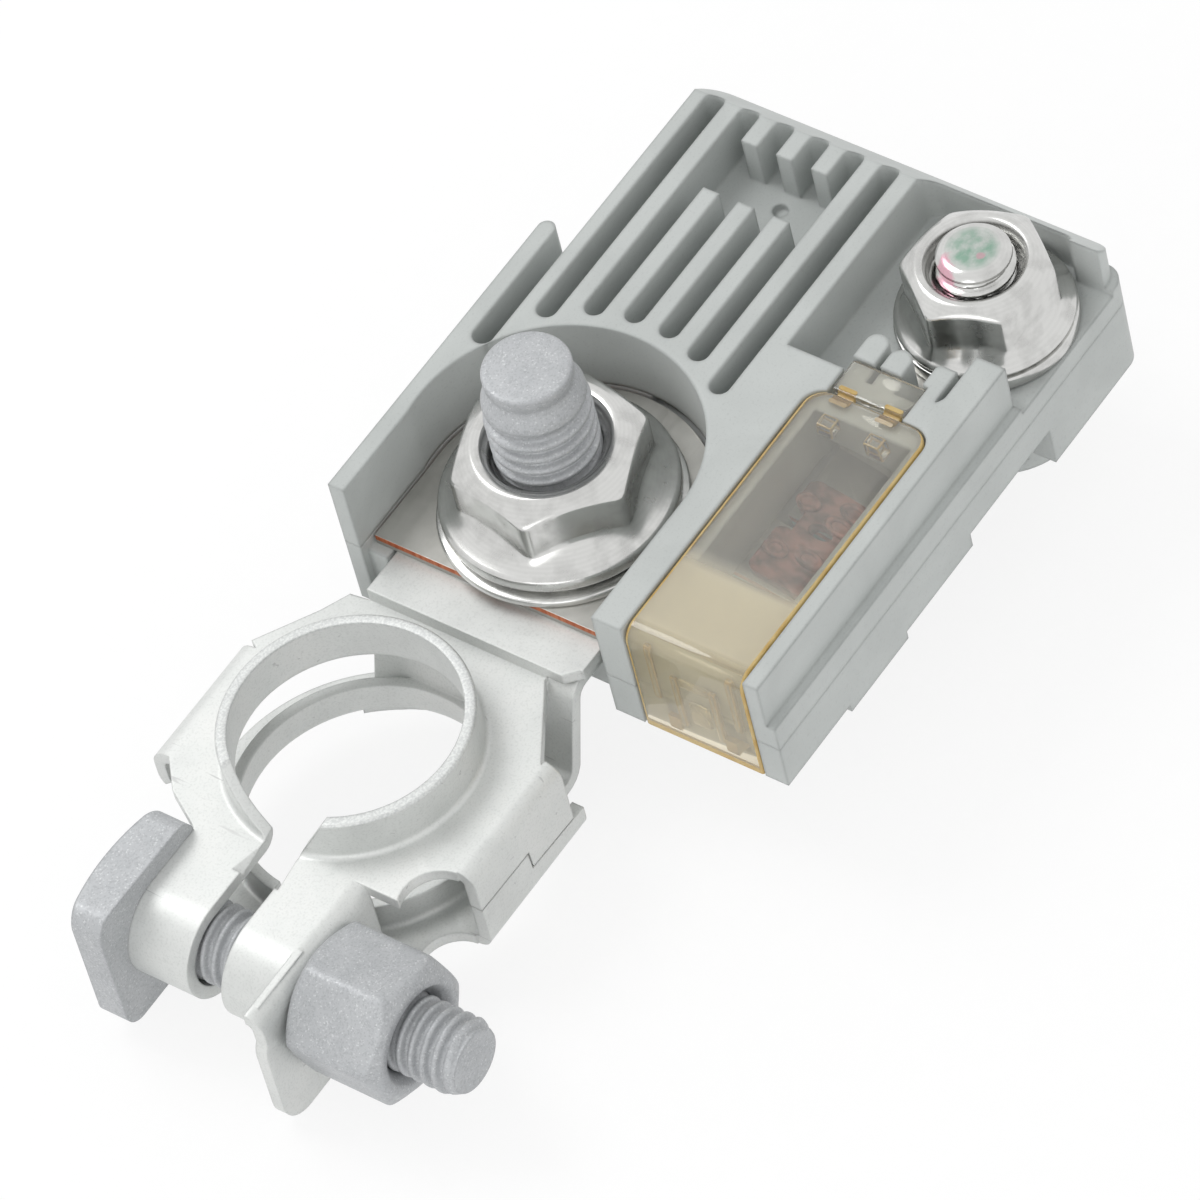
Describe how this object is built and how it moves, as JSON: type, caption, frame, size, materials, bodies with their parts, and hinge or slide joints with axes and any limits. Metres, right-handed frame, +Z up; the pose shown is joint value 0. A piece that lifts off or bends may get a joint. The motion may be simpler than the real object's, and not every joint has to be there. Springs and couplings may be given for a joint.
{
  "type": "battery terminal clamp",
  "caption": "Fused battery terminal clamp: folded sheet clamp with a side clamping bolt, carrying a ribbed plastic fuse housing with two terminal studs and a clear fuse window.",
  "frame": {"origin": "on the post bore's axis, in the straight wall of the lower collar, 1.6 mm above the clamp's underside", "axes": "+Z up along the battery post, +X from the post towards the fuse housing, +Y towards the clamp bolt's head"},
  "size_m": [0.0813, 0.0417, 0.03],
  "materials": {
    "tinned_sheet": "satin tin plating with fine scratches",
    "zinc_flake": "matte, finely speckled zinc flake coating",
    "bright_steel": "bright plated steel",
    "tinned_copper": "tin plating with bare copper cut edges",
    "fuse_alloy": "dull, tarnished copper alloy",
    "grey_plastic": "satin moulded plastic",
    "clear_plastic": "clear, amber-tinted plastic"
  },
  "bodies": {
    "clamp": {"clamp_body": "tinned_sheet", "main_stud": "zinc_flake", "link_plate": "tinned_copper", "fuse_element": "fuse_alloy", "element_rivets": "fuse_alloy", "load_plate": "tinned_copper", "load_stud": "bright_steel", "housing_upper": "grey_plastic", "housing_lower": "grey_plastic", "lid_hinge": "clear_plastic"},
    "bolt": {"clamp_bolt": "zinc_flake"},
    "tall_nut": {"clamp_nut": "zinc_flake"},
    "main_cone": {"main_washer": "bright_steel"},
    "main_hexagon": {"main_nut": "bright_steel"},
    "load_cone": {"load_washer": "bright_steel"},
    "load_hexagon": {"load_nut": "bright_steel"},
    "lid": {"window_lid": "clear_plastic"}
  },
  "joints": [
    {"name": "clamp_nut_turn", "type": "hinge", "parent": "clamp", "child": "tall_nut", "pos_m": [-0.016, -0.012, 0.0026], "axis": [0, -1, 0], "range_deg": [0, 4285]},
    {"name": "clamp_bolt_slide", "type": "slide", "parent": "clamp", "child": "bolt", "axis": [0, 1, 0], "range_m": [0, 0.0119]},
    {"name": "main_washer_lift", "type": "slide", "parent": "clamp", "child": "main_cone", "axis": [0, 0, 1], "range_m": [0, 0.0094]},
    {"name": "main_nut_turn", "type": "hinge", "parent": "main_cone", "child": "main_hexagon", "pos_m": [0.0237, -0.0023, 0.0134], "axis": [0, 0, 1], "range_deg": [0, 2708]},
    {"name": "load_washer_lift", "type": "slide", "parent": "clamp", "child": "load_cone", "axis": [0, 0, 1], "range_m": [0, 0.00565]},
    {"name": "load_nut_turn", "type": "hinge", "parent": "load_cone", "child": "load_hexagon", "pos_m": [0.0504, -0.0215, 0.0144], "axis": [0, 0, 1], "range_deg": [0, 2035]},
    {"name": "lid_swing", "type": "hinge", "parent": "clamp", "child": "lid", "pos_m": [0.03715, -0.0212, 0.0154], "axis": [0, 1, 0], "range_deg": [0, 110]}
  ],
  "couplings": [
    {"joint": "clamp_nut_turn", "follows": "clamp_bolt_slide", "rad_per_m": 6283.2},
    {"joint": "main_nut_turn", "follows": "main_washer_lift", "rad_per_m": 5026.6},
    {"joint": "load_nut_turn", "follows": "load_washer_lift", "rad_per_m": 6283.2}
  ]
}
